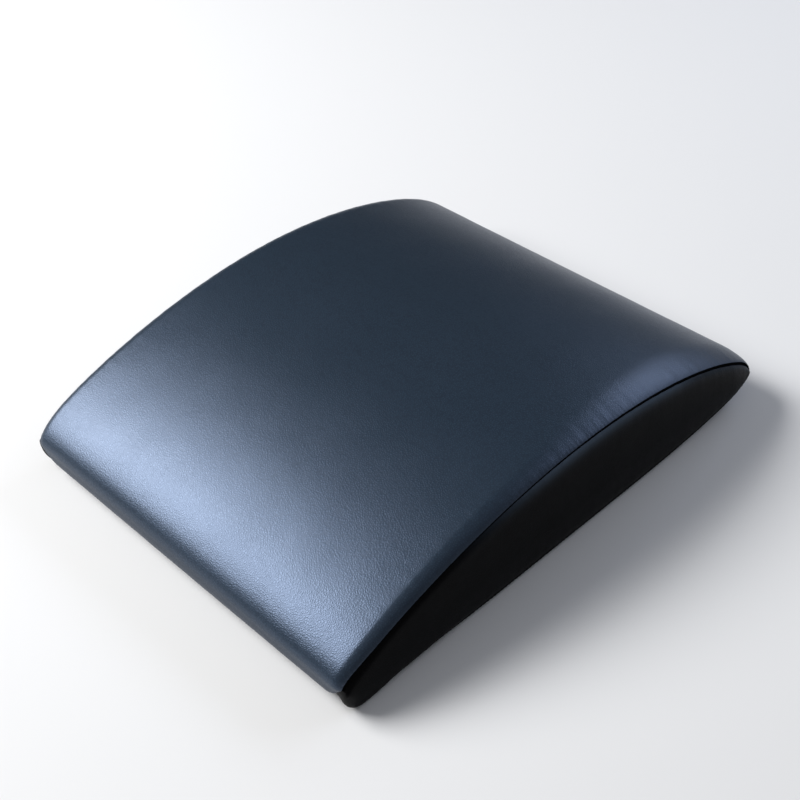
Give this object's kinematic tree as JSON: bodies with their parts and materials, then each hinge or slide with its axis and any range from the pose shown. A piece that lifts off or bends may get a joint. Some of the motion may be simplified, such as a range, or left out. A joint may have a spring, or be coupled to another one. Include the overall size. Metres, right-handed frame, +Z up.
{
  "type": "ab mat",
  "caption": "Domed foam support pad in a sewn imitation-leather cover, with crescent side panels, a non-slip base and a zip under its rear lip.",
  "frame": {"origin": "on the floor, at the middle of the mat's length and width", "axes": "+Y from the low front edge to the rear lip, +X to the right-hand side panel, +Z up"},
  "size_m": [0.2918, 0.368, 0.0796],
  "materials": {
    "foam": "matte",
    "top_leather": "satin",
    "side_leather": "satin",
    "base_vinyl": "matte",
    "thread": "matte",
    "zip_tape": "matte",
    "zip_teeth": "satin",
    "zip_metal": "satin"
  },
  "bodies": {
    "mat": {"foam_core": "foam", "top_cover": "top_leather", "base_panel": "base_vinyl", "side_panel_right": "side_leather", "side_panel_left": "side_leather", "seam_thread_right": "thread", "seam_thread_left": "thread", "base_seam_thread": "thread", "zip_tape_front": "zip_tape", "zip_tape_rear": "zip_tape", "zip_teeth_front": "zip_teeth", "zip_teeth_rear": "zip_teeth", "zip_top_stop_front": "zip_metal", "zip_top_stop_rear": "zip_metal", "zip_bottom_stop": "zip_metal"},
    "slider": {"zip_slider": "zip_metal"},
    "pull": {"zip_pull": "zip_metal"}
  },
  "joints": [
    {"name": "zip_slide", "type": "slide", "parent": "mat", "child": "slider", "axis": [-1, 0, 0], "range_m": [0, 0.212], "deforming": ["zip_teeth_front", "zip_teeth_rear"]},
    {"name": "pull_swing", "type": "hinge", "parent": "slider", "child": "pull", "pos_m": [0.106, 0.16632, 0.00641], "axis": [0, -0.9765, -0.2154], "range_deg": [-12, 165]}
  ]
}
